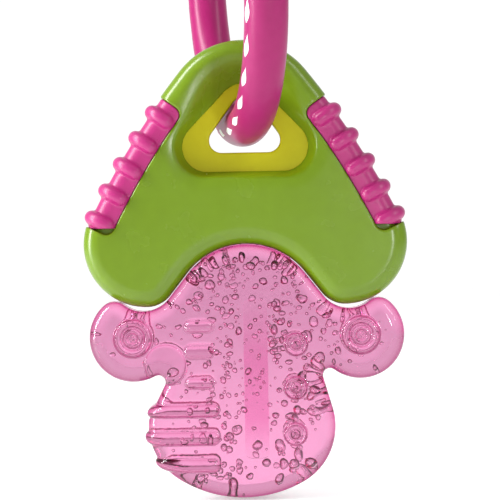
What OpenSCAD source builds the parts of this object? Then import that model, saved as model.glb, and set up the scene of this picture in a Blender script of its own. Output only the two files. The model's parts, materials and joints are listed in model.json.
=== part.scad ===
// Key-shaped baby teether hanging from a round grasping ring.
// Z is up, X is across the key and the key's front faces -Y. The origin is the
// inside top of the ring, where a finger, a hook or a strap holds it. Millimetres.
// The key's own plane points are (x, z) from a datum in the middle of its eyelet.

/* [Ring] */
// Radius of the ring, to the centre of its tube
ring_r = 30; // [29:0.5:33]
// Radius of the ring's tube
tube_r = 4.2; // [3.6:0.1:4.2]
// Turn of the ring about the vertical, in degrees away from square to the key
ring_yaw = 11.7; // [0:0.1:15]
// Lean of the ring's top towards -X, in degrees
ring_lean = 3.5; // [0:0.1:6]
// Length of the closing piece along the ring, in degrees
closure_angle = 70; // [50:5:110]

/* [Handle] */
// Thickness of the handle, front to back
handle_t = 12; // [11:0.5:14]
// Radius that rounds the handle's faces into its edge
handle_edge = 3.5; // [2.5:0.25:4]
// Height of the handle's top above the eyelet datum
apex_z = 17.2; // [16.5:0.1:18]
// Radius of the handle's top
apex_r = 16.4; // [15:0.1:17]
// Radius of the gentle bulge of the sloping sides
side_r = 165; // [140:5:220]
// Radius of each lower lobe
lobe_r = 12.8; // [12:0.1:13.5]
// Half the distance between the lobes' centres
lobe_x = 20.2; // [19.5:0.1:21]
// Height of the lobes' centres
lobe_z = -24.2; // [-25:0.1:-23]
// Radius of a lobe's inner tip
tip_r = 5.8; // [5:0.1:6.5]
// Height of the arch between the lobes
arch_z = -24.4; // [-25:0.1:-24]
// Radius of the arch
arch_r = 15.4; // [15:0.1:16]
// Wall of the handle's faces
handle_wall = 1.8; // [1.5:0.1:2.2]

/* [Eyelet frame] */
// Thickness of the eyelet frame
frame_t = 3; // [2:0.2:3]
// How far the frame reaches into the handle's pocket
frame_lip = 1.3; // [1:0.1:1.6]

/* [Grips] */
// Depth of a grip inwards from the handle's edge
grip_w = 5.8; // [5:0.1:6.5]
// Thickness of the grip's skin
grip_skin = 1.6; // [1.4:0.1:1.8]
// How far the ribs stand proud
rib_proud = 1.05; // [0.8:0.05:1.2]
// Radius of a rib
rib_r = 1.4; // [1.2:0.1:1.6]
// Number of ribs on each grip
rib_count = 5; // [4:1:5]

/* [Bit] */
// Thickness of the gel bit, front to back
bit_t = 11.2; // [10:0.4:12]
// Radius that rounds the bit's faces into its edge
bit_edge = 2.6; // [2:0.2:3]
// Wall of the bit's shells
bit_wall = 1.1; // [0.9:0.1:1.3]
// Radius of each ear
ear_r = 9; // [8.5:0.1:9.5]
// Radius of the rounded corners of the bit's foot
foot_r = 13; // [12:0.5:13.5]
// Radius of the flatter arc along the bottom of the foot
foot_bottom_r = 25; // [23:1:30]
// How far the nubs stand proud
nub_proud = 0.7; // [0.5:0.1:0.9]
// How far the ridges stand proud
ridge_proud = 0.9; // [0.7:0.1:0.9]

/* [Hidden] */
clearance = 0.1;
pink = [0.82, 0.2, 0.53];
green = [0.55, 0.7, 0.16];
gel_pink = [0.93, 0.6, 0.75];

// Ring: the joint's socket and spigot, and how far the spigot reaches, in degrees
spigot_r = 2.4;
spigot_reach = 9;
socket_extra = 0.05;
// Where the tube's centre crosses the key's plane
tube_at = [0.25, -0.2];
ring_top = [-sin(ring_lean) * cos(ring_yaw), -sin(ring_lean) * sin(ring_yaw), cos(ring_lean)];
ring_centre = -(ring_r - tube_r) * ring_top;
ring_bottom = -(2 * ring_r - tube_r) * ring_top;
key_origin = ring_bottom - [tube_at[0], 0, tube_at[1]];

// Circles of a rounded triangle, as (x, z, radius): the eyelet's hole, the dish's floor and its rim
hole = [[-4.5, -3.1, 2.6], [4.9, -3.1, 2.6], [0.3, 2.85, 2.95]];
dish = [[-7.45, -4.5, 5], [8.05, -4.5, 5], [0.25, 2.8, 5.5]];
dish_rim = [[-7.8, -4.7, 6.5], [8.4, -4.7, 6.6], [0.1, 3, 10.5]];

// Handle outline: centres of its arcs, and the angles at which they meet
apex_c = [0, apex_z - apex_r];
lobe_c = [lobe_x, lobe_z];
tip_c = [lobe_x, lobe_z - lobe_r + tip_r];
arch_c = [0, arch_z - arch_r];
side_c = circle_crossing(apex_c, side_r - apex_r, lobe_c, side_r - lobe_r);
side_start = direction(apex_c - side_c);
side_end = direction(lobe_c - side_c);
flank = direction(tip_c - arch_c) + acos((arch_r + tip_r) / norm(tip_c - arch_c));
inner_side = 3.6;
grip_wall = 1.6;

// Grips: where they start and end round the side's arc, in degrees
grip_start = 36.3;
grip_end = 25.8;
rib_first = 35.1;
rib_pitch = 2.15;
grip_corner = 1.8;

// Bit: the gaps and valleys that clear the handle, then the ears, notches and foot
arch_gap = 0.2;
valley_r = 6.6;
valley_x = 21;
flank_n = [cos(flank), sin(flank)];
valley_c = [valley_x, (flank_n * arch_c + arch_r - arch_gap + valley_r - flank_n[0] * valley_x) / flank_n[1]];
ear_c = [23.1, -43.2];
corner_r = 3.2;
corner_c = circle_crossing(ear_c, ear_r - corner_r, valley_c, valley_r + corner_r);
notch_r = 1.4;
notch_right = notch_centre(16.8);
notch_left = notch_centre(18.2);
foot_right = [4.8, -61.7];
foot_left = [-7.4, -61.2];
foot_bottom = circle_crossing(foot_right, foot_bottom_r - foot_r, foot_left, foot_bottom_r - foot_r);
shoulder_r = 5.5;
shoulder_c = foot_left - [foot_r - shoulder_r, 0];

// Bit: directions at which its arcs meet, those of the left notch as if it were on the right
to_corner = direction(corner_c - valley_c);
corner_turn = direction(corner_c - ear_c);
right_turn = direction(foot_right - foot_bottom);
left_turn = direction(foot_left - foot_bottom);
neck_right = neck_angle(notch_right - foot_right, foot_r + notch_r);
neck_left = neck_angle(notch_left - mirrored(shoulder_c), shoulder_r + notch_r);

// Bumps, as heights with radii, or as (x, z)
ridges = [[-58.1, 1.3], [-63.6, 1.5], [-69.1, 1.5]];
ridge_end = -7.2;
pills = [[-41.1, 1.35], [-46.2, 1.6], [-52.5, 1.15]];
pill_x = [-11.5, -8];
studs = [[9.9, -44.9], [9.7, -53.7], [9.5, -63]];
stud_r = 2.25;
ear_rings = [3.3, 1.6];

// Tongue that anchors the bit in the handle, its pegs, and the fill channel
tongue_half_w = 9;
tongue_top = -16.2;
tongue_half_t = 1.5;
peg_r = 1.5;
peg_reach = 2;
boss_wall = 1.2;
pegs = [[-5.5, -18.8], [5.5, -18.8], [-20.5, -25], [20.5, -25]];
channel_r = 1;

function direction(v) = atan2(v[1], v[0]);
function on_circle(c, r, a) = c + r * [cos(a), sin(a)];
function arc(c, r, a0, a1, steps) = [for (i = [0:steps]) on_circle(c, r, a0 + (a1 - a0) * i / steps)];
// An arc without its first point, where it carries on from the arc before it
function arc_on(c, r, a0, a1, steps) = [for (i = [1:steps]) on_circle(c, r, a0 + (a1 - a0) * i / steps)];

function mirrored(p) = [-p[0], p[1]];
function reversed(list) = [for (i = [len(list) - 1:-1:0]) list[i]];

// The point at distance r1 from a and r2 from b, to the right of the way from a to b
function circle_crossing(a, r1, b, r2) =
    let (d = norm(b - a), along = (r1 * r1 - r2 * r2 + d * d) / (2 * d),
         across = sqrt(r1 * r1 - along * along), e = (b - a) / d)
    a + along * e - across * [-e[1], e[0]];

// Direction of the outward normal of the edge that touches two circles, anticlockwise round a shape
function edge_normal(p, q) =
    let (d = [q[0] - p[0], q[1] - p[1]])
    direction(d) - acos((p[2] - q[2]) / norm(d));

// Direction of the straight neck's normal between circles v apart whose radii add up to reach
function neck_angle(v, reach) = direction(v) - acos(reach / norm(v));

// Centre of the fillet under the right ear, x from the middle
function notch_centre(x) = [x, ear_c[1] - sqrt(pow(ear_r + notch_r, 2) - pow(ear_c[0] - x, 2))];

// Right half of the handle's outline, from the top down to the middle of the arch
half_outline = concat(
    arc(apex_c, apex_r, 90, side_start, 5),
    arc(side_c, side_r, side_start, side_end, 4),
    arc(lobe_c, lobe_r, side_end, -90, 9),
    arc(tip_c, tip_r, -90, flank - 180, 3),
    arc(arch_c, arch_r, flank, 90, 5));

// The bit's outline, clockwise from the top of its dome, moved inwards by d
function bit_points(d) = concat(
    bit_side(d, notch_right, neck_right, 90),
    bit_foot(d),
    [for (p = reversed(bit_side(d, notch_left, neck_left, 80))) mirrored(p)]);

// Half of the dome from the angle top, then the gap under the lobe, the ear and its notch
function bit_side(d, notch, neck, top) = concat(
    arc(arch_c, arch_r - arch_gap - d, top, flank, 5),
    arc(valley_c, valley_r + d, flank + 180, 360 + to_corner, 5),
    arc_on(corner_c, corner_r - d, 180 + to_corner, corner_turn, 3),
    arc_on(ear_c, ear_r - d, corner_turn, direction(notch - ear_c), 10),
    arc_on(notch, notch_r + d, 180 + direction(notch - ear_c), 180 + neck, 4));

function bit_foot(d) = concat(
    arc(foot_right, foot_r - d, neck_right, right_turn, 7),
    arc_on(foot_bottom, foot_bottom_r - d, right_turn, left_turn, 3),
    arc_on(foot_left, foot_r - d, left_turn, -180, 4),
    arc_on(shoulder_c, shoulder_r - d, -180, -180 - neck_left, 2));

module handle_outline() {
    left_half = [for (i = [len(half_outline) - 2:-1:1]) [-half_outline[i][0], half_outline[i][1]]];
    polygon(concat(half_outline, left_half));
}

// Rounded triangle of three circles' arcs and the straight edges that touch them
module rounded_triangle(c, grow = 0) {
    polygon([for (i = [0:2])
        let (p = c[i], a0 = edge_normal(c[(i + 2) % 3], p), a1 = edge_normal(p, c[(i + 1) % 3]))
        each arc([p[0], p[1]], p[2] + grow, a0, a0 + (a1 - a0 + 720) % 360, 12)]);
}

// Stands a shape drawn in (x, z) upright, so that what is extruded upwards faces -Y
module upright() {
    translate(key_origin) rotate([90, 0, 0]) children();
}

module back_side() {
    mirror([0, 0, 1]) children();
}

module dome(r) {
    rotate_extrude($fn = 16) polygon(concat([[0, 0]], arc([0, 0], r, 0, 90, 3)));
}

// Half of a slab with a rounded edge: flat at z = 0, and t high
module half_pillow(t, edge) {
    minkowski() {
        linear_extrude(t - edge) offset(delta = -edge) children();
        dome(edge);
    }
}

// The band of the handle's plane that a grip covers, from inside it to well past the edge
module grip_band(side, grow = 0) {
    mirror([side < 0 ? 1 : 0, 0]) offset(r = grip_corner) offset(delta = grow - grip_corner) polygon(concat(
        arc(side_c, side_r + grip_w, grip_start, grip_end, 6),
        arc(side_c, side_r - grip_w, grip_end, grip_start, 6)));
}

// What a grip wraps: the handle's half, smaller by the grip's skin
module grip_core() {
    half_pillow(handle_t / 2 - grip_skin, handle_edge - grip_skin)
        offset(delta = -grip_skin) handle_outline();
}

// A bar with round ends along a chain of points
module chain(points, r) {
    for (i = [0:len(points) - 2]) hull() {
        translate(points[i]) sphere(r, $fn = 10);
        translate(points[i + 1]) sphere(r, $fn = 10);
    }
}

// Points that wrap a bar round a rounded edge: distance in from the edge, then height
function wrap(length, half_t, edge, sunk) =
    let (front = concat([[length, half_t - sunk]],
        [for (a = [90, 45, 0]) [edge - (edge - sunk) * cos(a), half_t - edge + (edge - sunk) * sin(a)]]))
    concat(front, [for (i = [3:-1:0]) [front[i][0], -front[i][1]]]);

module rib(side, a) {
    path = wrap(grip_w - rib_r - clearance, handle_t / 2, handle_edge, rib_r - rib_proud);
    mirror([side < 0 ? 1 : 0, 0, 0])
        chain([for (p = path) let (q = on_circle(side_c, side_r - p[0], a)) [q[0], q[1], p[1]]], rib_r);
}

module grip(side) {
    color(pink) upright() difference() {
        union() {
            intersection() {
                union() {
                    half_pillow(handle_t / 2, handle_edge) handle_outline();
                    back_side() half_pillow(handle_t / 2, handle_edge) handle_outline();
                }
                linear_extrude(2 * handle_t, center = true) grip_band(side);
            }
            for (i = [0:rib_count - 1]) rib(side, rib_first - i * rib_pitch);
        }
        grip_core();
        back_side() grip_core();
    }
}

// Hollow of a handle half, clear of its side walls, of the grips and of the dish's collar
module handle_hollow() {
    linear_extrude(handle_t / 2 - handle_wall) difference() {
        offset(delta = -inner_side) handle_outline();
        for (side = [-1, 1]) grip_band(side, grip_wall);
        rounded_triangle(dish_rim, handle_wall);
    }
}

// A handle half without its pegs or sockets
module handle_half() {
    difference() {
        union() {
            difference() {
                half_pillow(handle_t / 2, handle_edge) handle_outline();
                for (side = [-1, 1]) translate([0, 0, -1]) linear_extrude(handle_t) grip_band(side);
            }
            grip_core();
        }
        translate([0, 0, -0.01]) handle_hollow();
        hull() {
            translate([0, 0, handle_t / 2 + 0.1]) linear_extrude(0.1) rounded_triangle(dish_rim);
            linear_extrude(frame_t / 2) rounded_triangle(dish);
        }
        translate([0, 0, -1]) linear_extrude(1 + frame_t / 2) rounded_triangle(dish, frame_lip + clearance);
        translate([0, 0, -1]) linear_extrude(1 + tongue_half_t) tongue_outline(clearance);
    }
}

module tongue_outline(grow = 0) {
    offset(r = 1.5 + grow) offset(delta = -1.5)
        translate([-tongue_half_w, arch_z - 6]) square([2 * tongue_half_w, tongue_top - arch_z + 6]);
}

// Bosses that stand on the face's inside and reach down to the tongue
module peg_bosses() {
    height = handle_t / 2 - handle_wall - tongue_half_t + 0.1;
    for (p = pegs) translate([p[0], p[1], tongue_half_t]) hull() {
        cylinder(r = peg_r + boss_wall, h = height, $fn = 20);
        translate([0, 0, height - 0.5]) cylinder(r = peg_r + boss_wall + 0.5, h = 0.5, $fn = 20);
    }
}

// Pegs on the back half pass through the tongue into sockets in the front half
module handle_back() {
    color(green) upright() back_side() {
        handle_half();
        peg_bosses();
        for (p = pegs) translate([p[0], p[1], 0]) hull() {
            translate([0, 0, 0.4 - tongue_half_t - peg_reach])
                cylinder(r = peg_r, h = 2 * tongue_half_t + peg_reach + 1, $fn = 20);
            translate([0, 0, -tongue_half_t - peg_reach]) cylinder(r = peg_r - 0.4, h = 1, $fn = 20);
        }
    }
}

module handle_front() {
    color(green) upright() difference() {
        union() {
            handle_half();
            peg_bosses();
        }
        for (p = pegs) translate([p[0], p[1], -0.1])
            cylinder(r = peg_r + clearance, h = tongue_half_t + peg_reach + 0.2, $fn = 20);
    }
}

module eyelet_frame() {
    color([0.83, 0.8, 0.1]) upright() linear_extrude(frame_t, center = true) difference() {
        rounded_triangle(dish, frame_lip);
        rounded_triangle(hole);
    }
}

// Rings of the bit's outline, each moved inwards and raised as levels say, closed at both ends
module bit_rings(levels) {
    n = len(bit_points(0));
    last = (len(levels) - 1) * n;
    polyhedron(
        points = [for (l = levels, p = bit_points(l[0])) [p[0], p[1], l[1]]],
        faces = concat(
            [[for (i = [n - 1:-1:0]) i], [for (i = [0:n - 1]) last + i]],
            [for (k = [0:len(levels) - 2], i = [0:n - 1])
                let (a = k * n + i, b = k * n + (i + 1) % n) each [[b, b + n, a + n], [b, a + n, a]]]));
}

// Levels that round a face at height t into an edge, moved inwards by inset
function rounded_levels(inset, t, edge) =
    [for (a = [0, 30, 60, 90]) [inset + edge * (1 - cos(a)), t - edge * (1 - sin(a))]];

// The x of the bit's left edge at a height z down the foot
function foot_edge(z) = foot_left[0] - sqrt(foot_r * foot_r - pow(z - foot_left[1], 2));

// One of the bit's outer bumps, half of it below the face
module bump(points, r) {
    hull() for (p = points) translate([p[0], p[1], bit_t / 2])
        scale([1, 1, nub_proud / r]) sphere(r, $fn = 10);
}

module ridge(z, r) {
    path = wrap(ridge_end - foot_edge(z), bit_t / 2, bit_edge, r - ridge_proud);
    chain([for (i = [0:3]) [foot_edge(z) + path[i][0], z, path[i][1]]], r);
}

module bit_half() {
    difference() {
        union() {
            bit_rings(concat([[0, 0]], rounded_levels(0, bit_t / 2, bit_edge)));
            linear_extrude(tongue_half_t) tongue_outline();
            for (r = ridges) intersection() {
                ridge(r[0], r[1]);
                translate([-40, -90, 0]) cube([60, 60, handle_t]);
            }
            for (p = pills) bump([for (x = pill_x) [x, p[0]]], p[1]);
            for (s = studs) bump([s], stud_r);
            for (side = [-1, 1], r = ear_rings) translate([side * ear_c[0], ear_c[1], bit_t / 2])
                rotate_extrude($fn = 16) translate([r, 0]) circle(nub_proud, $fn = 6);
        }
        bit_rings(concat([[bit_wall, -1]], rounded_levels(bit_wall, bit_t / 2 - bit_wall, bit_edge - 0.8)));
        for (p = [pegs[0], pegs[1]]) translate([p[0], p[1], -1])
            cylinder(r = peg_r + clearance, h = 2 + tongue_half_t, $fn = 20);
        translate([0, tongue_top + 1, 0]) rotate([90, 0, 0]) cylinder(r = channel_r + 0.05, h = 14, $fn = 20);
    }
}

module bit_front_shell() {
    color(gel_pink, 0.6) upright() bit_half();
}

module bit_back_shell() {
    color(gel_pink, 0.6) upright() back_side() bit_half();
}

module gel_fill() {
    inset = bit_wall + clearance;
    edge = bit_edge - 0.8;
    color([0.95, 0.7, 0.82], 0.5) upright() minkowski() {
        linear_extrude(bit_t - 2 * (inset + edge), center = true) polygon(bit_points(inset + edge));
        rotate_extrude($fn = 12) polygon(arc([0, 0], edge, -90, 90, 4));
    }
}

module fill_plug() {
    color("white") upright() {
        translate([0, tongue_top + 0.6, 0]) rotate([90, 0, 0]) cylinder(r = channel_r, h = 9, $fn = 32);
        translate([0, tongue_top + 1, 0]) rotate([90, 0, 0]) cylinder(r = 1.3, h = 0.8, $fn = 32);
    }
}

// Puts a shape drawn round Z in the ring's own plane, with angle 90 at the ring's top
module in_ring_plane() {
    translate(ring_centre) rotate(ring_lean, [sin(ring_yaw), -cos(ring_yaw), 0])
        rotate([0, 0, ring_yaw - 90]) rotate([90, 0, 0]) children();
}

module ring_arc(r, a0, sweep) {
    rotate([0, 0, a0]) rotate_extrude(angle = sweep, $fn = 96) translate([ring_r, 0]) circle(r, $fn = 48);
}

module ring_main() {
    start = 90 + closure_angle / 2;
    color(pink) in_ring_plane() difference() {
        ring_arc(tube_r, start, 360 - closure_angle);
        ring_arc(spigot_r + socket_extra, start - 1, spigot_reach + 1.3);
        ring_arc(spigot_r + socket_extra, 90 - closure_angle / 2 - spigot_reach - 0.3, spigot_reach + 1.3);
    }
}

module ring_closure() {
    color(pink) in_ring_plane() {
        ring_arc(tube_r, 90 - closure_angle / 2, closure_angle);
        ring_arc(spigot_r, 90 - closure_angle / 2 - spigot_reach, closure_angle + 2 * spigot_reach);
    }
}

ring_main();
ring_closure();
handle_front();
handle_back();
eyelet_frame();
grip(-1);  // left_grip
grip(1);  // right_grip
bit_front_shell();
bit_back_shell();
gel_fill();
fill_plug();
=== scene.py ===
"""Looks of the key-shaped teether on its ring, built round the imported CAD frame.

Shapes are worked out in millimetres in the key's own frame: x across, y from front to back,
z up, from the middle of the eyelet. Each is a distance field, meshed and moved to the part's
frame, which is in metres.
"""
import json
import math
import random

import bmesh
import bpy
import numpy as np
import openvdb
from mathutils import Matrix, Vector


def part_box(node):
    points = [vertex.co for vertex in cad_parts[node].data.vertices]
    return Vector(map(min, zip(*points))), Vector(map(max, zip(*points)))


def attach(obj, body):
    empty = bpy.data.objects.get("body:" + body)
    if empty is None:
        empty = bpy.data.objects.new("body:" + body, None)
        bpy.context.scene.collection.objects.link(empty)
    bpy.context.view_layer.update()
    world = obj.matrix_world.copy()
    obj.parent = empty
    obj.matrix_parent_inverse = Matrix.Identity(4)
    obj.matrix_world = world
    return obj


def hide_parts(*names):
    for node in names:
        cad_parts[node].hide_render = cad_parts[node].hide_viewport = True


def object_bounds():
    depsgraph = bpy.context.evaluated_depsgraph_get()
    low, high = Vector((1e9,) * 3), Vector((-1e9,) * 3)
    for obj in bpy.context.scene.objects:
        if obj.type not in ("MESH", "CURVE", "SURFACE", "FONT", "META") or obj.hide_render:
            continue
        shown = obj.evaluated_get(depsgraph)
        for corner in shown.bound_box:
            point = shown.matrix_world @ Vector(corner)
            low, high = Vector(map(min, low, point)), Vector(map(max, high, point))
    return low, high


MM = 0.001
OUTLINE_STEP = 0.2

# The key's dimensions, as in the CAD source
APEX_R, SIDE_R, LOBE_R, TIP_R, ARCH_R = 16.4, 165, 12.8, 5.8, 15.4
APEX_C = np.array([0, 17.2 - APEX_R])
LOBE_C = np.array([20.2, -24.2])
TIP_C = LOBE_C - [0, LOBE_R - TIP_R]
ARCH_C = np.array([0, -24.4 - ARCH_R])
HANDLE_HALF, HANDLE_EDGE, HANDLE_WALL, INNER_SIDE = 6.0, 3.5, 1.8, 3.6
FIT = 0.1
HOLE = [(-4.5, -3.1, 2.6), (4.9, -3.1, 2.6), (0.3, 2.85, 2.95)]
DISH = [(-7.45, -4.5, 5), (8.05, -4.5, 5), (0.25, 2.8, 5.5)]
DISH_RIM = [(-7.8, -4.7, 6.5), (8.4, -4.7, 6.6), (0.1, 3, 10.5)]
FRAME_HALF, FRAME_LIP = 1.5, 1.3
GRIP_W, GRIP_SKIN, GRIP_CORNER = 5.8, 1.6, 1.8
GRIP_START, GRIP_END = 36.3, 25.8
GRIP_SUNK, GRIP_WALL = 0.4, 1.6
RIB_R, RIB_PROUD, RIB_FIRST, RIB_PITCH, RIB_COUNT = 1.5, 1.05, 35.1, 2.15, 5
BIT_HALF, BIT_EDGE = 5.6, 2.9
ARCH_GAP, VALLEY_R, VALLEY_X, EAR_R, CORNER_R, NOTCH_R = 0.2, 6.6, 21, 9, 3.2, 1.4
NOTCH_RIGHT_X, NOTCH_LEFT_X = 16.8, 18.2
EAR_C = np.array([23.1, -43.2])
FOOT_R, FOOT_BOTTOM_R, SHOULDER_R = 13, 25, 5.5
FOOT_RIGHT = np.array([4.8, -61.7])
FOOT_LEFT = np.array([-7.4, -61.2])
SHOULDER_C = FOOT_LEFT - [FOOT_R - SHOULDER_R, 0]
BUMP_PROUD, RIDGE_PROUD = 0.7, 0.9
RIDGES = [(-58.1, 1.3), (-63.6, 1.5), (-69.1, 1.5)]
RIDGE_END = -7.2
PILLS = [(-41.1, 1.35), (-46.2, 1.6), (-52.5, 1.15)]
PILL_X = (-11.5, -8)
STUDS = [(9.9, -44.9), (9.7, -53.7), (9.5, -63)]
STUD_R, STUD_PROUD, STUD_GROOVE_AT, STUD_GROOVE_R = 2.25, 0.85, 1.35, 0.5
# Rings on the ears, from the outer one in: radius, height over the face and thickness
EAR_RINGS = [(3.1, 0.05, 0.75), (1.5, 0.05, 0.55), (0, -0.3, 0.65)]
# Flat pad beside the left notch: x, z and radius
HUMP = (-16.6, -48.7, 4.1)
BAND_LEFT, BAND_RIGHT, BAND_LOW, BAND_HIGH = -0.7, 4.2, -68.5, -36
BAND_FRONT, BAND_BACK = 0.6, 3.6
TONGUE_HALF_W, TONGUE_TOP, TONGUE_FOOT, TONGUE_HALF = 9, -16.2, -30, 1.5
RING_R, TUBE_R, TUBE_SIDES, CLOSURE_ANGLE = 30, 4.2, 72, 70
# White marks on the ring, in degrees: how many, first, pitch, length, half width, and how far
# round the tube and slanted they are
MARK_COUNT, MARK_FIRST, MARK_PITCH, MARK_LENGTH = 28, -88, 12.8, 9.4
MARK_HALF_W, MARK_AT, MARK_SLANT = 13, -72, 8


# ---------------------------------------------------------------- outlines
def direction(v):
    return math.degrees(math.atan2(v[1], v[0]))


def arc(centre, radius, start, end):
    """Points along an arc, from one angle to another in degrees."""
    length = abs(math.radians(end - start)) * radius
    a = np.radians(np.linspace(start, end, max(3, int(length / OUTLINE_STEP))))
    return np.stack([centre[0] + radius * np.cos(a), centre[1] + radius * np.sin(a)], axis=1)


def mirrored(p):
    return np.asarray(p) * [-1, 1]


def circle_crossing(a, r1, b, r2):
    """The point at r1 from a and r2 from b, to the right of the way from a to b."""
    d = np.linalg.norm(b - a)
    along = (r1 * r1 - r2 * r2 + d * d) / (2 * d)
    e = (b - a) / d
    return a + along * e - math.sqrt(r1 * r1 - along * along) * np.array([-e[1], e[0]])


def tangent_turn(total, v):
    """The angle, in degrees, between a line of centres and the normal of their inner tangent."""
    return math.degrees(math.acos(total / np.linalg.norm(v)))


SIDE_C = circle_crossing(APEX_C, SIDE_R - APEX_R, LOBE_C, SIDE_R - LOBE_R)
FLANK = direction(TIP_C - ARCH_C) + tangent_turn(ARCH_R + TIP_R, TIP_C - ARCH_C)
FOOT_BOTTOM = circle_crossing(FOOT_RIGHT, FOOT_BOTTOM_R - FOOT_R, FOOT_LEFT, FOOT_BOTTOM_R - FOOT_R)


def handle_outline():
    side_start, side_end = direction(APEX_C - SIDE_C), direction(LOBE_C - SIDE_C)
    right = np.concatenate([
        arc(APEX_C, APEX_R, 90, side_start),
        arc(SIDE_C, SIDE_R, side_start, side_end),
        arc(LOBE_C, LOBE_R, side_end, -90),
        arc(TIP_C, TIP_R, -90, FLANK - 180),
        arc(ARCH_C, ARCH_R, FLANK, 90),
    ])
    return np.concatenate([right, mirrored(right[::-1])])


def rounded_triangle(circles):
    """Outline round three circles, given anticlockwise from the lower left."""
    normals = []
    for (ax, az, ar), (bx, bz, br) in zip(circles, circles[1:] + circles[:1]):
        step = np.array([bx - ax, bz - az])
        normals.append(direction(step) - math.degrees(math.acos((ar - br) / np.linalg.norm(step))))
    pieces = []
    for k, (x, z, r) in enumerate(circles):
        turn = (normals[k] - normals[k - 1]) % 360
        pieces.append(arc((x, z), r, normals[k] - turn, normals[k]))
    return np.concatenate(pieces)


def notch_centre(x):
    """Centre of the fillet between the right ear and the foot."""
    return np.array([x, EAR_C[1] - math.sqrt((EAR_R + NOTCH_R) ** 2 - (EAR_C[0] - x) ** 2)])


def ear_side(notch, neck):
    """Half of the dome, the valley, the ear and its notch, on the right, clockwise."""
    n = np.array([math.cos(math.radians(FLANK)), math.sin(math.radians(FLANK))])
    valley_z = (n @ ARCH_C + ARCH_R - ARCH_GAP + VALLEY_R - n[0] * VALLEY_X) / n[1]
    valley = np.array([VALLEY_X, valley_z])
    corner = circle_crossing(EAR_C, EAR_R - CORNER_R, valley, VALLEY_R + CORNER_R)
    return np.concatenate([
        arc(ARCH_C, ARCH_R - ARCH_GAP, 90, FLANK),
        arc(valley, VALLEY_R, FLANK + 180, 360 + direction(corner - valley)),
        arc(corner, CORNER_R, 180 + direction(corner - valley), direction(corner - EAR_C)),
        arc(EAR_C, EAR_R, direction(corner - EAR_C), direction(notch - EAR_C)),
        arc(notch, NOTCH_R, direction(EAR_C - notch), neck),
    ])


def bit_outline():
    right, left = notch_centre(NOTCH_RIGHT_X), notch_centre(NOTCH_LEFT_X)
    neck_right = direction(right - FOOT_RIGHT) - tangent_turn(FOOT_R + NOTCH_R, right - FOOT_RIGHT)
    to_left = mirrored(left) - SHOULDER_C
    neck_left = direction(to_left) + tangent_turn(SHOULDER_R + NOTCH_R, to_left) - 360
    right_turn, left_turn = direction(FOOT_RIGHT - FOOT_BOTTOM), direction(FOOT_LEFT - FOOT_BOTTOM)
    foot = np.concatenate([
        arc(FOOT_RIGHT, FOOT_R, neck_right, right_turn),
        arc(FOOT_BOTTOM, FOOT_BOTTOM_R, right_turn, left_turn),
        arc(FOOT_LEFT, FOOT_R, left_turn, -180),
        arc(SHOULDER_C, SHOULDER_R, -180, neck_left),
    ])
    left_side = mirrored(ear_side(left, -neck_left))
    return np.concatenate([ear_side(right, 180 + neck_right), foot, left_side[::-1]])


# ---------------------------------------------------------------- distance fields
class Grid:
    """Sample places in a box, with x, y and z shaped to spread over a field."""

    def __init__(self, low, high, step):
        self.low, self.step = np.array(low, float), step
        axes = [np.arange(a, b + step, step) for a, b in zip(low, high)]
        self.x, self.y, self.z = np.meshgrid(*axes, indexing="ij", sparse=True)


def outline_distance(points, x, z):
    """Distance of each place (x, z) from a closed outline, negative inside it."""
    x, z = x[:, :1, :1], z[:1, :1, :]
    nearest = np.full(np.broadcast(x, z).shape, np.inf)
    inside = np.zeros(nearest.shape, bool)
    for (ax, az), (bx, bz) in zip(points, np.roll(points, -1, axis=0)):
        dx, dz = bx - ax, bz - az
        if dx * dx + dz * dz < 1e-12:
            continue
        along = np.clip(((x - ax) * dx + (z - az) * dz) / (dx * dx + dz * dz), 0, 1)
        nearest = np.minimum(nearest, (x - ax - along * dx) ** 2 + (z - az - along * dz) ** 2)
        if az != bz:
            inside ^= ((az > z) != (bz > z)) & (x < ax + (z - az) * dx / dz)
    return np.where(inside, -1, 1) * np.sqrt(nearest)


def smooth_max(a, b, k):
    h = np.clip(0.5 + 0.5 * (a - b) / k, 0, 1)
    return b + (a - b) * h + k * h * (1 - h)


def smooth_min(a, b, k):
    return -smooth_max(-a, -b, k)


def rounded_corner(a, b, r):
    """The inside of both distances, the corner between them rounded."""
    a, b = a + r, b + r
    outside = np.hypot(np.maximum(a, 0), np.maximum(b, 0))
    return outside + np.minimum(np.maximum(a, b), 0) - r


def slab(d, h, half, edge):
    """A plate of the outline that d measures, its faces at half and their edges rounded."""
    return rounded_corner(d, np.abs(h) - half, edge)


def sampled(field, grid, points):
    """A field's value at points anywhere in its grid, between its samples."""
    at = (points - grid.low) / grid.step
    cell = np.clip(np.floor(at).astype(int), 0, np.array(field.shape) - 2)
    part = at - cell
    value = np.zeros(len(points))
    for corner in np.ndindex(2, 2, 2):
        weight = np.prod(np.where(corner, part, 1 - part), axis=1)
        value += weight * field[tuple((cell + corner).T)]
    return value


def surface(field, grid):
    """Points and quads of the surface where a field is zero, the points drawn onto it."""
    field = np.broadcast_to(field, np.broadcast(grid.x, grid.y, grid.z).shape)
    band = 3 * grid.step
    vdb = openvdb.FloatGrid(band)
    vdb.copyFromArray(np.clip(field, -band, band).astype(np.float32))
    index, quads = vdb.convertToQuads(0.0)
    points = grid.low + index.astype(float) * grid.step
    reach = grid.step / 2
    for _ in range(2):
        value = sampled(field, grid, points)
        slope = np.stack([
            sampled(field, grid, points + reach * axis) - sampled(field, grid, points - reach * axis)
            for axis in np.eye(3)], axis=1) / (2 * reach)
        steep = np.maximum((slope ** 2).sum(1), 0.25)
        move = -(value / steep)[:, None] * slope
        points += np.clip(move, -reach, reach)
    return points, quads.astype(int)


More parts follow.
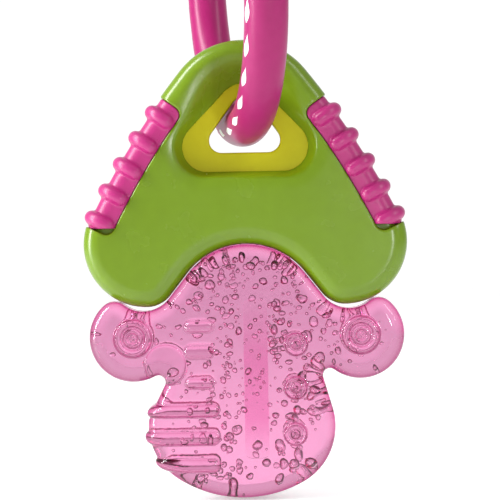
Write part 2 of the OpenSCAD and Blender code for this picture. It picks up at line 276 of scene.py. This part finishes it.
def outward(points, faces):
    """The faces, turned round if they face into the solid."""
    a, b, c = (points[faces[:, k]] for k in range(3))
    volume = np.einsum("ij,ij->", a, np.cross(b, c))
    if faces.shape[1] == 4:
        d = points[faces[:, 3]]
        volume += np.einsum("ij,ij->", a, np.cross(c, d))
    return faces if volume > 0 else faces[:, ::-1]


# ---------------------------------------------------------------- pieces
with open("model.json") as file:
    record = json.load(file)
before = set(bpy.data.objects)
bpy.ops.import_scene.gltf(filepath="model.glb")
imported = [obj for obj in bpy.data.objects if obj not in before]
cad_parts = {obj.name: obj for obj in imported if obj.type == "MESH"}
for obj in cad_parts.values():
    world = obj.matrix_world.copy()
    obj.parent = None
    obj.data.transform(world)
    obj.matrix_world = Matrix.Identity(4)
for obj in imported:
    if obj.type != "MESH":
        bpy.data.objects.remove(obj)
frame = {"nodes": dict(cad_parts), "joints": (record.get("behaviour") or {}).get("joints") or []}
CAD_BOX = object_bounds()
FRAME_LOW, FRAME_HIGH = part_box("eyelet_frame")
DATUM = np.array([
    FRAME_LOW.x - MM * (DISH[0][0] - DISH[0][2] - FRAME_LIP),
    (FRAME_LOW.y + FRAME_HIGH.y) / 2,
    FRAME_LOW.z - MM * (DISH[0][1] - DISH[0][2] - FRAME_LIP),
])
HINGE = frame["joints"][0]


def add_mesh(name, points, faces, material, body):
    """A smooth piece from points in metres and a list of faces, in the part's frame."""
    mesh = bpy.data.meshes.new(name)
    mesh.from_pydata(points.tolist(), [], faces)
    mesh.shade_smooth()
    mesh.materials.append(material)
    piece = bpy.data.objects.new(name, mesh)
    bpy.context.scene.collection.objects.link(piece)
    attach(piece, body)
    return piece


def key_piece(name, points, faces, material, flip_y=False):
    """A piece of the key from points in its own frame, or its mirror image from front to back."""
    world = points * [1, -1 if flip_y else 1, 1] * MM + DATUM
    return add_mesh(name, world, outward(world, faces).tolist(), material, "key")


def band_distance(x, z):
    """How far a place is from the right grip's band, and its angle along the side."""
    rx, rz = x - SIDE_C[0], z - SIDE_C[1]
    angle = np.degrees(np.arctan2(rz, rx))
    middle, half = (GRIP_START + GRIP_END) / 2, (GRIP_START - GRIP_END) / 2
    along = np.abs(angle - middle) - half
    inwards = SIDE_R - GRIP_W - np.hypot(rx, rz)
    return rounded_corner(np.radians(along) * SIDE_R, inwards, GRIP_CORNER), angle


def dish_surface(x, z):
    """Height of the dish's wall over each place, from the eyelet frame up to the handle's face."""
    floor = outline_distance(rounded_triangle(DISH), x, z)
    rim = outline_distance(rounded_triangle(DISH_RIM), x, z)
    t = np.clip(floor / np.maximum(floor - rim, 0.01), 0, 1)
    rise = 0.45 * t + 0.55 * t * t * (3 - 2 * t)
    low = FRAME_HALF + 0.3
    return low + (HANDLE_HALF - low) * rise + 0.6 * np.maximum(rim, 0), floor


def handle_field(g):
    """The front half of the handle, its outside towards +y."""
    d = outline_distance(handle_outline(), g.x, g.z)
    band = np.minimum(band_distance(g.x, g.z)[0], band_distance(-g.x, g.z)[0])
    height, floor = dish_surface(g.x, g.z)
    skin = GRIP_SKIN + FIT
    field = slab(d, g.y, HANDLE_HALF, HANDLE_EDGE)
    field = smooth_max(field, 0.05 - band, 0.15)
    core = slab(d + skin, g.y, HANDLE_HALF - skin, HANDLE_EDGE - GRIP_SKIN)
    field = np.minimum(field, core)
    field = smooth_max(field, 0.72 * (g.y - height), 1.1)
    field = smooth_max(field, 0.06 - floor, 0.25)
    pocket = np.maximum(floor - FRAME_LIP - FIT, g.y - FRAME_HALF - FIT / 2)
    tongue = np.maximum(np.maximum(np.abs(g.x) - TONGUE_HALF_W - FIT, g.z - TONGUE_TOP - FIT),
                        g.y - TONGUE_HALF - FIT)
    collar = 5.2
    hollow = np.maximum(np.maximum(d + INNER_SIDE, GRIP_WALL - band),
                        np.maximum(collar - floor, g.y - HANDLE_HALF + HANDLE_WALL))
    for space in (pocket, tongue, hollow):
        field = np.maximum(field, -space)
    return smooth_max(field, 0.03 - g.y, 0.16)


def add_handle(material):
    g = Grid((-34, -0.5, -38.2), (34, 6.6, 18.2), 0.26)
    points, quads = surface(handle_field(g), g)
    for name, flip in (("handle_front_shell", True), ("handle_back_shell", False)):
        piece = key_piece(name, points, quads, material, flip)
        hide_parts("handle_front" if flip else "handle_back")


def grip_field(g):
    """The right grip: a skin wrapped round the handle's side, with five ribs."""
    d = outline_distance(handle_outline(), g.x, g.z)
    band, angle = band_distance(g.x, g.z)
    body = slab(d, g.y, HANDLE_HALF, HANDLE_EDGE)
    field = smooth_max(body + GRIP_SUNK, band, 0.25)
    depth = np.maximum(-d - GRIP_W + RIB_R + 0.15, 0)
    for k in range(RIB_COUNT):
        s = np.radians(angle - RIB_FIRST + k * RIB_PITCH) * SIDE_R
        rib = np.sqrt(s * s + (body + RIB_R - RIB_PROUD) ** 2 + depth ** 2) - RIB_R
        field = smooth_min(field, rib, 0.5)
    core = slab(d + GRIP_SKIN, g.y, HANDLE_HALF - GRIP_SKIN, HANDLE_EDGE - GRIP_SKIN)
    return np.maximum(field, -core)


def add_grips(material):
    g = Grid((10, -7.6, -20.6), (34.5, 7.6, 8.2), 0.2)
    points, quads = surface(grip_field(g), g)
    for name, side in (("right", 1), ("left", -1)):
        piece = key_piece(name + "_grip_rubber", points * [side, 1, 1], quads, material)
        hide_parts(name + "_grip")


def add_eyelet_frame(material):
    g = Grid((-15, -1.6, -11.6), (15, 1.6, 10.8), 0.18)
    outer = outline_distance(rounded_triangle(DISH), g.x, g.z) - FRAME_LIP
    hole = outline_distance(rounded_triangle(HOLE), g.x, g.z)
    points, quads = surface(slab(np.maximum(outer, -hole), g.y, FRAME_HALF, 0.35), g)
    piece = key_piece("eyelet_plate", points, quads, material)
    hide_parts("eyelet_frame")


def bit_field(g):
    """The whole bit: its pillow, the tongue that anchors it, and the bumps on both faces."""
    d = outline_distance(bit_outline(), g.x, g.z)
    body = slab(d, g.y, BIT_HALF, BIT_EDGE)
    seam = np.hypot(d + 0.14, g.y) - 0.22
    field = smooth_min(body, seam, 0.15)
    bumps = []
    for z, r in RIDGES:
        past = np.maximum(g.x - RIDGE_END, 0)
        bumps.append(np.sqrt((g.z - z) ** 2 + (body + r - RIDGE_PROUD) ** 2 + past ** 2) - r)
    for z, r in PILLS:
        past = g.x - np.clip(g.x, *PILL_X)
        bumps.append(np.sqrt((g.z - z) ** 2 + (body + r - BUMP_PROUD) ** 2 + past ** 2) - r)
    for x, z in STUDS:
        away = np.hypot(g.x - x, g.z - z)
        puck = slab(away - STUD_R, body, STUD_PROUD, 0.45)
        groove = STUD_GROOVE_R - np.hypot(away - STUD_GROOVE_AT, body - STUD_PROUD)
        bumps.append(smooth_max(puck, groove, 0.15))
    away = np.hypot(np.abs(g.x) - EAR_C[0], g.z - EAR_C[1])
    for radius, height, thick in EAR_RINGS:
        bumps.append(np.hypot(away - radius, body - height) - thick)
    hump = slab(np.hypot(g.x - HUMP[0], g.z - HUMP[1]) - HUMP[2], body, 0.5, 0.3)
    bumps.append(np.maximum(hump, d + 0.5))
    for bump in bumps:
        field = smooth_min(field, bump, 0.12)
    tongue = slab(np.maximum(np.abs(g.x) - TONGUE_HALF_W, g.z - TONGUE_TOP), g.y, TONGUE_HALF, 0.4)
    tongue = np.maximum(tongue, TONGUE_FOOT - g.z)
    return smooth_min(field, tongue, 0.4)


def add_bit(material):
    g = Grid((-33.4, -6.9, -77), (33.4, 6.9, -15.4), 0.26)
    points, quads = surface(bit_field(g), g)
    piece = key_piece("clear_bit", points, quads, material)
    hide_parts("bit_front_shell", "bit_back_shell", "gel_fill")


def add_core_band(material):
    """The deeper pink bar down the middle of the gel."""
    low, high = np.array([[BAND_LEFT, BAND_FRONT, BAND_LOW], [BAND_RIGHT, BAND_BACK, BAND_HIGH]])
    g = Grid(low - 1, high + 1, 0.2)
    middle, half = (BAND_LEFT + BAND_RIGHT) / 2, (BAND_RIGHT - BAND_LEFT) / 2
    ends = np.abs(g.z - (BAND_LOW + BAND_HIGH) / 2) - (BAND_HIGH - BAND_LOW) / 2
    plan = rounded_corner(np.abs(g.x - middle) - half, ends, 1.2)
    depth = (BAND_BACK - BAND_FRONT) / 2
    points, quads = surface(slab(plan, g.y - BAND_FRONT - depth, depth, 0.8), g)
    key_piece("gel_core_band", points, quads, material)


def ball(level):
    """Points and triangles of a round ball of radius 1."""
    bm = bmesh.new()
    bmesh.ops.create_icosphere(bm, subdivisions=level, radius=1.0)
    points = np.array([v.co for v in bm.verts])
    faces = np.array([[v.index for v in f.verts] for f in bm.faces])
    bm.free()
    return points, faces


BUBBLE_TRIES = 12
# Groups of bubbles in the gel: x, z, spread across, spread up, number, smallest and largest radius
BUBBLE_GROUPS = [
    (-4.5, -28.3, 3.4, 1.3, 22, 0.35, 1.2),
    (5.5, -28.6, 3.2, 1.5, 22, 0.35, 1.1),
    (-9.7, -31.5, 1.2, 1.5, 8, 0.8, 1.5),
    (-1, -32.5, 5.0, 1.4, 22, 0.25, 0.7),
    (9, -32, 2.0, 2.0, 12, 0.35, 1.1),
    (6.2, -40.5, 1.4, 3.0, 34, 0.35, 1.2),
    (5.6, -46.5, 1.3, 2.0, 14, 0.35, 1.2),
    (14.5, -40, 4.0, 2.6, 16, 0.4, 1.3),
    (-13, -38.5, 3.0, 2.2, 12, 0.4, 1.3),
    (-20, -44.5, 2.6, 3.0, 8, 0.35, 0.9),
    (-4.4, -44, 1.8, 4.0, 20, 0.3, 0.9),
    (-5.5, -52, 2.2, 2.6, 18, 0.35, 1.1),
    (-15, -54.5, 2.0, 2.0, 8, 0.4, 0.9),
    (-13, -61, 3.5, 3.2, 12, 0.35, 1.0),
    (-4.2, -62.5, 1.6, 2.4, 16, 0.4, 1.3),
    (14, -50, 2.0, 2.6, 14, 0.35, 1.4),
    (13, -58, 2.0, 2.6, 18, 0.45, 1.5),
    (5, -67.5, 2.8, 1.6, 12, 0.5, 1.5),
    (-1, -71.5, 3.2, 1.2, 12, 0.6, 1.6),
    (8.5, -70, 3.0, 1.6, 14, 0.6, 1.5),
    (-7.5, -72, 2.0, 1.0, 6, 0.5, 1.1),
    (1.5, -52, 2.2, 9.0, 34, 0.18, 0.5),
    (20, -48.5, 2.2, 1.6, 7, 0.35, 0.9),
    (0, -38, 9, 5, 60, 0.25, 0.9),
    (2, -56, 9, 8, 90, 0.25, 1.0),
    (-22, -43, 3, 3, 14, 0.3, 0.8),
    (22, -43, 4, 3, 18, 0.3, 0.9),
    (18.5, -38.5, 2.4, 1.2, 7, 0.5, 1.2),
]


def bubble_places(rng, outline_grid, outline_field):
    """Centres and radii of bubbles that touch neither each other nor the bit's surface."""
    placed = []
    for x, z, wide, tall, count, small, large in BUBBLE_GROUPS:
        for _ in range(count):
            r = small + (large - small) * rng.random() ** 1.8
            for _ in range(BUBBLE_TRIES):
                c = np.array([rng.gauss(x, wide), rng.uniform(-4.4, 4.4), rng.gauss(z, tall)])
                depth = sampled(outline_field, outline_grid, np.array([[c[0], 0.0, c[2]]]))[0]
                clear = all(np.linalg.norm(c - p) > 1.12 * (r + q) for p, q in placed)
                in_band = BAND_LEFT - r < c[0] < BAND_RIGHT + r and c[1] > BAND_FRONT - r
                inside = depth < -r - 0.9 and abs(c[1]) + r < BIT_HALF - 0.5
                if clear and inside and not in_band:
                    placed.append((c, r))
                    break
    return placed


def add_bubbles(material):
    """Air bubbles in the gel: closed hollows, so their faces look inwards."""
    rng = random.Random(11)
    g = Grid((-34, 0, -78), (34, 0.5, -22), 0.5)
    field = outline_distance(bit_outline(), g.x, g.z)
    field = np.broadcast_to(field, np.broadcast(g.x, g.y, g.z).shape)
    balls = {level: ball(level) for level in (2, 3)}
    points, faces, used = [], [], 0
    for centre, r in bubble_places(rng, g, field):
        unit, tri = balls[3 if r > 0.55 else 2]
        lumps = np.ones(len(unit))
        for _ in range(3):
            wave = np.array([rng.uniform(-2.6, 2.6) for _ in range(3)])
            lumps += rng.uniform(0.05, 0.15) * np.sin(unit @ wave + rng.uniform(0, 6.3))
        stretch = np.array([rng.uniform(0.7, 1.15), rng.uniform(0.5, 0.85), rng.uniform(0.7, 1.1)])
        points.append(centre + unit * lumps[:, None] * stretch * r * 0.9)
        faces.append(tri[:, ::-1] + used)
        used += len(unit)
    world = np.concatenate(points) * MM + DATUM
    add_mesh("gel_bubbles", world, np.concatenate(faces).tolist(), material, "key")


# ---------------------------------------------------------------- ring
def ring_frame():
    """The ring's centre, axis, and its own sideways and upward directions."""
    centre = np.array(HINGE["pos_m"])
    axis = np.array(HINGE["axis"])
    axis = axis / np.linalg.norm(axis)
    up = np.array([0, 0, 1.0]) - axis * axis[2]
    up = up / np.linalg.norm(up)
    return centre, axis, np.cross(axis, up), up


def tube_point(theta, phi, r):
    """Places near the ring's tube, in metres: theta round the ring and phi round its tube."""
    centre, axis, side, up = ring_frame()
    theta, phi, r = np.broadcast_arrays(np.radians(theta), np.radians(phi), r)
    radial = np.cos(theta)[..., None] * side + np.sin(theta)[..., None] * up
    reach = (RING_R + r * np.cos(phi))[..., None] * radial + (r * np.sin(phi))[..., None] * axis
    return centre + MM * reach


def add_tube(name, node, start, sweep, material):
    """An arc of the ring's tube, its ends drawn in to leave a fine joint line."""
    steps = int(abs(sweep) * 0.9)
    lip = 0.25
    ends = [(0, 0.0), (0.02, TUBE_R - lip), (0.12, TUBE_R - 0.1), (0.35, TUBE_R)]
    stations = [(start + a, r) for a, r in ends]
    stations += [(start + sweep * k / steps, TUBE_R) for k in range(1, steps)]
    stations += [(start + sweep - a, r) for a, r in reversed(ends)]
    around = np.linspace(0, 360, TUBE_SIDES, endpoint=False)
    rows = [tube_point(a, around, r) for a, r in stations[1:-1]]
    caps = [tube_point(a, 0, 0)[None] for a, _ in (stations[0], stations[-1])]
    k, j = np.meshgrid(np.arange(len(rows) - 1), np.arange(TUBE_SIDES), indexing="ij")
    a, b = k * TUBE_SIDES + j, k * TUBE_SIDES + (j + 1) % TUBE_SIDES
    quads = np.stack([a, b, b + TUBE_SIDES, a + TUBE_SIDES], axis=-1).reshape(-1, 4)
    centre = len(rows) * TUBE_SIDES
    here = np.arange(TUBE_SIDES)
    beyond = (here + 1) % TUBE_SIDES
    last_row = centre - TUBE_SIDES
    first_cap = np.stack([np.full(TUBE_SIDES, centre), beyond, here], axis=1)
    last_cap = np.stack([np.full(TUBE_SIDES, centre + 1), here + last_row, beyond + last_row], axis=1)
    faces = quads.tolist() + first_cap.tolist() + last_cap.tolist()
    piece = add_mesh(name, np.concatenate(rows + caps), faces, material, "ring")
    bm = bmesh.new()
    bm.from_mesh(piece.data)
    bmesh.ops.recalc_face_normals(bm, faces=bm.faces)
    bm.to_mesh(piece.data)
    bm.free()
    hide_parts(node)


def add_marks(material):
    """A row of thin white teardrops printed on the ring's left side."""
    rows, cols = 14, 8
    points, faces, used = [], [], 0
    s = np.linspace(0, 1, rows)[:, None]
    c = np.linspace(-1, 1, cols)[None, :]
    width = 0.15 + MARK_HALF_W * np.sin(np.pi * (1 - s) ** 1.6) * (0.75 + 0.25 * s)
    phi = MARK_AT + MARK_SLANT * (s - 0.5) + width * c
    i, j = np.meshgrid(np.arange(rows - 1), np.arange(cols - 1), indexing="ij")
    a = i * cols + j
    grid_faces = np.stack([a, a + cols, a + cols + 1, a + 1], axis=-1).reshape(-1, 4)
    clear_of_closure = CLOSURE_ANGLE / 2 + 4
    for k in range(MARK_COUNT):
        start = MARK_FIRST + k * MARK_PITCH
        if abs((start + 360) % 360 - 90) < clear_of_closure:
            continue
        points.append(tube_point(start + MARK_LENGTH * s, phi, TUBE_R + 0.03).reshape(-1, 3))
        faces.append(grid_faces + used)
        used += rows * cols
    add_mesh("ring_marks", np.concatenate(points), np.concatenate(faces).tolist(), material, "ring")


# ---------------------------------------------------------------- materials
def principled(name, **sockets):
    material = bpy.data.materials.new(name)
    material.use_nodes = True
    shader = material.node_tree.nodes["Principled BSDF"]
    for socket, value in sockets.items():
        shader.inputs[socket.replace("_", " ")].default_value = value
    return material, material.node_tree, shader


def add_noise(tree, scale, detail=3.0):
    """Noise laid out by the piece's own coordinates."""
    place = tree.nodes.new("ShaderNodeTexCoord")
    noise = tree.nodes.new("ShaderNodeTexNoise")
    noise.inputs["Scale"].default_value = scale
    noise.inputs["Detail"].default_value = detail
    tree.links.new(place.outputs["Object"], noise.inputs["Vector"])
    return noise.outputs["Fac"]


def add_ramp(tree, factor, low, high, start=0.35, end=0.65):
    ramp = tree.nodes.new("ShaderNodeValToRGB")
    ramp.color_ramp.elements[0].position = start
    ramp.color_ramp.elements[0].color = low
    ramp.color_ramp.elements[1].position = end
    ramp.color_ramp.elements[1].color = high
    tree.links.new(factor, ramp.inputs["Fac"])
    return ramp.outputs["Color"]


def add_bump(tree, shader, height, strength, distance):
    bump = tree.nodes.new("ShaderNodeBump")
    bump.inputs["Strength"].default_value = strength
    bump.inputs["Distance"].default_value = distance
    tree.links.new(height, bump.inputs["Height"])
    tree.links.new(bump.outputs["Normal"], shader.inputs["Normal"])


def grey(value):
    return (value, value, value, 1)


def add_slant_skin_and_shade_tint(tree, shader, middle, edge, start, end):
    """Glass is deeper in colour where it is seen at a slant: partly through more of its skin, partly
    painted shade for the dark surroundings seen through its slanting faces.
    """
    slant = tree.nodes.new("ShaderNodeLayerWeight")
    slant.inputs["Blend"].default_value = 0.5
    tint = add_ramp(tree, slant.outputs["Facing"], middle, edge, start, end)
    tree.links.new(tint, shader.inputs["Base Color"])


def plastic(name, low, high, rough, grain=0.06, **sockets):
    """Moulded plastic: slight clouding in the colour and gloss, and a fine grain."""
    material, tree, shader = principled(name, **sockets)
    cloud = add_noise(tree, 420, 2.0)
    tree.links.new(add_ramp(tree, cloud, low, high), shader.inputs["Base Color"])
    smudge = add_noise(tree, 160, 4.0)
    tree.links.new(add_ramp(tree, smudge, grey(rough[0]), grey(rough[1])), shader.inputs["Roughness"])
    add_bump(tree, shader, add_noise(tree, 2600, 3.0), grain, 0.0002)
    return material


def clear_gel():
    """Clear pink gel in a clear pink skin, deeper in colour where it is thicker, with painted shade
    darkening it where it is seen at a slant.
    """
    material, tree, shader = principled("clear_pink", IOR=1.42, Transmission_Weight=1.0)
    # Partly painted shade: slanting faces turn deep pink, for the longer path through the skin and for the
    # dark surroundings seen through the edges
    add_slant_skin_and_shade_tint(tree, shader, (1, 0.95, 0.98, 1), (0.55, 0.05, 0.26, 1), 0.06, 0.55)
    smudge = add_noise(tree, 300, 3.0)
    tree.links.new(add_ramp(tree, smudge, grey(0.03), grey(0.07)), shader.inputs["Roughness"])
    add_bump(tree, shader, add_noise(tree, 420, 2.0), 0.12, 0.0006)
    absorb = tree.nodes.new("ShaderNodeVolumeAbsorption")
    absorb.inputs["Color"].default_value = (0.71, 0.02, 0.42, 1)
    absorb.inputs["Density"].default_value = 116
    tree.links.new(absorb.outputs["Volume"], tree.nodes["Material Output"].inputs["Volume"])
    return material


def bubble_air():
    material, tree, shader = principled("bubble_air", IOR=1.42, Transmission_Weight=1.0)
    # Painted shade: the bubbles turn deep pink where they are seen at a slant, darkening their outlines
    add_slant_skin_and_shade_tint(tree, shader, (1, 0.95, 0.98, 1), (0.62, 0.12, 0.36, 1), 0.25, 0.75)
    smudge = add_noise(tree, 900, 2.0)
    tree.links.new(add_ramp(tree, smudge, grey(0.02), grey(0.08)), shader.inputs["Roughness"])
    return material


def deep_gel():
    """Gel of a deeper pink that fades out towards both ends of its bar."""
    material, tree, shader = principled("deep_gel", IOR=1.01, Transmission_Weight=1.0, Roughness=0.0)
    place = tree.nodes.new("ShaderNodeTexCoord")
    parts = tree.nodes.new("ShaderNodeSeparateXYZ")
    tree.links.new(place.outputs["Object"], parts.inputs["Vector"])
    along = tree.nodes.new("ShaderNodeMapRange")
    along.inputs["From Min"].default_value = DATUM[2] + MM * BAND_LOW
    along.inputs["From Max"].default_value = DATUM[2] + MM * BAND_HIGH
    tree.links.new(parts.outputs["Z"], along.inputs["Value"])
    clear, deep = (1, 0.97, 0.985, 1), (0.95, 0.6, 0.8, 1)
    ramp = tree.nodes.new("ShaderNodeValToRGB")
    stops = ramp.color_ramp.elements
    stops[0].position, stops[0].color = 0.02, clear
    stops[1].position, stops[1].color = 0.98, clear
    for along_bar in (0.25, 0.62):
        stops.new(along_bar).color = deep
    tree.links.new(along.outputs["Result"], ramp.inputs["Fac"])
    tree.links.new(ramp.outputs["Color"], shader.inputs["Base Color"])
    return material


# ---------------------------------------------------------------- studio
def add_floor():
    """A plain pale floor just under the bit."""
    z = CAD_BOX[0][2] - 0.0005
    half = 1.6
    corners = [(-half, -half, z), (half, -half, z), (half, half, z), (-half, half, z)]
    mesh = bpy.data.meshes.new("floor")
    mesh.from_pydata(corners, [], [(0, 1, 2, 3)])
    material, tree, shader = principled(
        "floor", Roughness=0.35, Emission_Color=grey(1), Emission_Strength=0.4)
    cloud = add_ramp(tree, add_noise(tree, 3, 2.0), grey(0.9), grey(0.93))
    tree.links.new(cloud, shader.inputs["Base Color"])
    mesh.materials.append(material)
    floor = bpy.data.objects.new("floor", mesh)
    bpy.context.scene.collection.objects.link(floor)


def add_world():
    """White studio surroundings, dimmer in front of the object than behind it."""
    world = bpy.data.worlds.new("studio")
    bpy.context.scene.world = world
    world.use_nodes = True
    tree = world.node_tree
    place = tree.nodes.new("ShaderNodeTexCoord")
    parts = tree.nodes.new("ShaderNodeSeparateXYZ")
    spread = tree.nodes.new("ShaderNodeMapRange")
    spread.inputs["From Min"].default_value = 0.5
    spread.inputs["From Max"].default_value = 0.96
    spread.inputs["To Min"].default_value = 0.42
    spread.inputs["To Max"].default_value = 1.05
    tree.links.new(place.outputs["Generated"], parts.inputs["Vector"])
    tree.links.new(parts.outputs["Y"], spread.inputs["Value"])
    tree.links.new(spread.outputs["Result"], tree.nodes["Background"].inputs["Strength"])
    tree.nodes["Background"].inputs["Color"].default_value = grey(1)


def add_light(name, place, target, size, watts):
    data = bpy.data.lights.new(name, "AREA")
    data.shape = "RECTANGLE"
    data.size, data.size_y = size
    data.energy = watts
    light = bpy.data.objects.new(name, data)
    light.location = place
    light.rotation_euler = (Vector(target) - Vector(place)).to_track_quat("-Z", "Y").to_euler()
    bpy.context.scene.collection.objects.link(light)


def add_camera():
    """The photograph's view: square to the key, from a third of a metre."""
    distance, width, roll, aim = 330, 102.8, 1.0, (0.925, -25.7)
    data = bpy.data.cameras.new("camera")
    data.sensor_width = 36
    data.lens = data.sensor_width * distance / width
    data.clip_start = 0.01
    camera = bpy.data.objects.new("camera", data)
    camera.location = Vector(DATUM + MM * np.array([aim[0], -distance, aim[1]]))
    camera.rotation_euler = (math.radians(90), math.radians(roll), 0)
    bpy.context.scene.collection.objects.link(camera)
    bpy.context.scene.camera = camera


add_camera()
add_world()
add_floor()
middle = Vector(DATUM + MM * np.array([0, 0, -28]))
add_light("key", middle + Vector((0.2, -0.56, 0.03)), middle, (0.05, 0.05), 0.52)
add_light("left_strip", middle + Vector((-0.44, -0.1, 0.22)), middle, (0.1, 0.7), 5.2)
add_light("right_strip", middle + Vector((0.4, -0.22, 0.3)), middle, (0.06, 0.4), 0.7)
bpy.context.scene.view_settings.view_transform = "Standard"
# Light has to get through the bit and many bubbles
bpy.context.scene.cycles.max_bounces = 24
bpy.context.scene.cycles.transmission_bounces = 24

green = plastic("green_plastic", (0.138, 0.235, 0.004, 1), (0.144, 0.246, 0.005, 1), (0.24, 0.28))
yellow = plastic("yellow_plastic", (0.5, 0.47, 0.001, 1), (0.52, 0.49, 0.002, 1), (0.4, 0.44),
                 Specular_IOR_Level=0.25)
ring_pink = plastic("ring_plastic", (0.315, 0.009, 0.112, 1), (0.33, 0.011, 0.12, 1), (0.3, 0.33),
                    Specular_IOR_Level=0.32)
grip_pink = plastic("grip_rubber", (0.4, 0.018, 0.155, 1), (0.42, 0.021, 0.165, 1), (0.33, 0.38), grain=0.1)
white_print = plastic("white_print", grey(0.85), grey(0.9), (0.3, 0.36))
plug_material = plastic("plug_plastic", grey(0.75), grey(0.8), (0.35, 0.4))

add_handle(green)
add_grips(grip_pink)
add_eyelet_frame(yellow)
add_bit(clear_gel())
add_core_band(deep_gel())
add_bubbles(bubble_air())
add_tube("ring_tube", "ring_main", 90 + CLOSURE_ANGLE / 2, 360 - CLOSURE_ANGLE, ring_pink)
add_tube("ring_closing_piece", "ring_closure", 90 - CLOSURE_ANGLE / 2, CLOSURE_ANGLE, ring_pink)
add_marks(white_print)
plug = frame["nodes"]["fill_plug"]
plug.data.materials.clear()
plug.data.materials.append(plug_material)
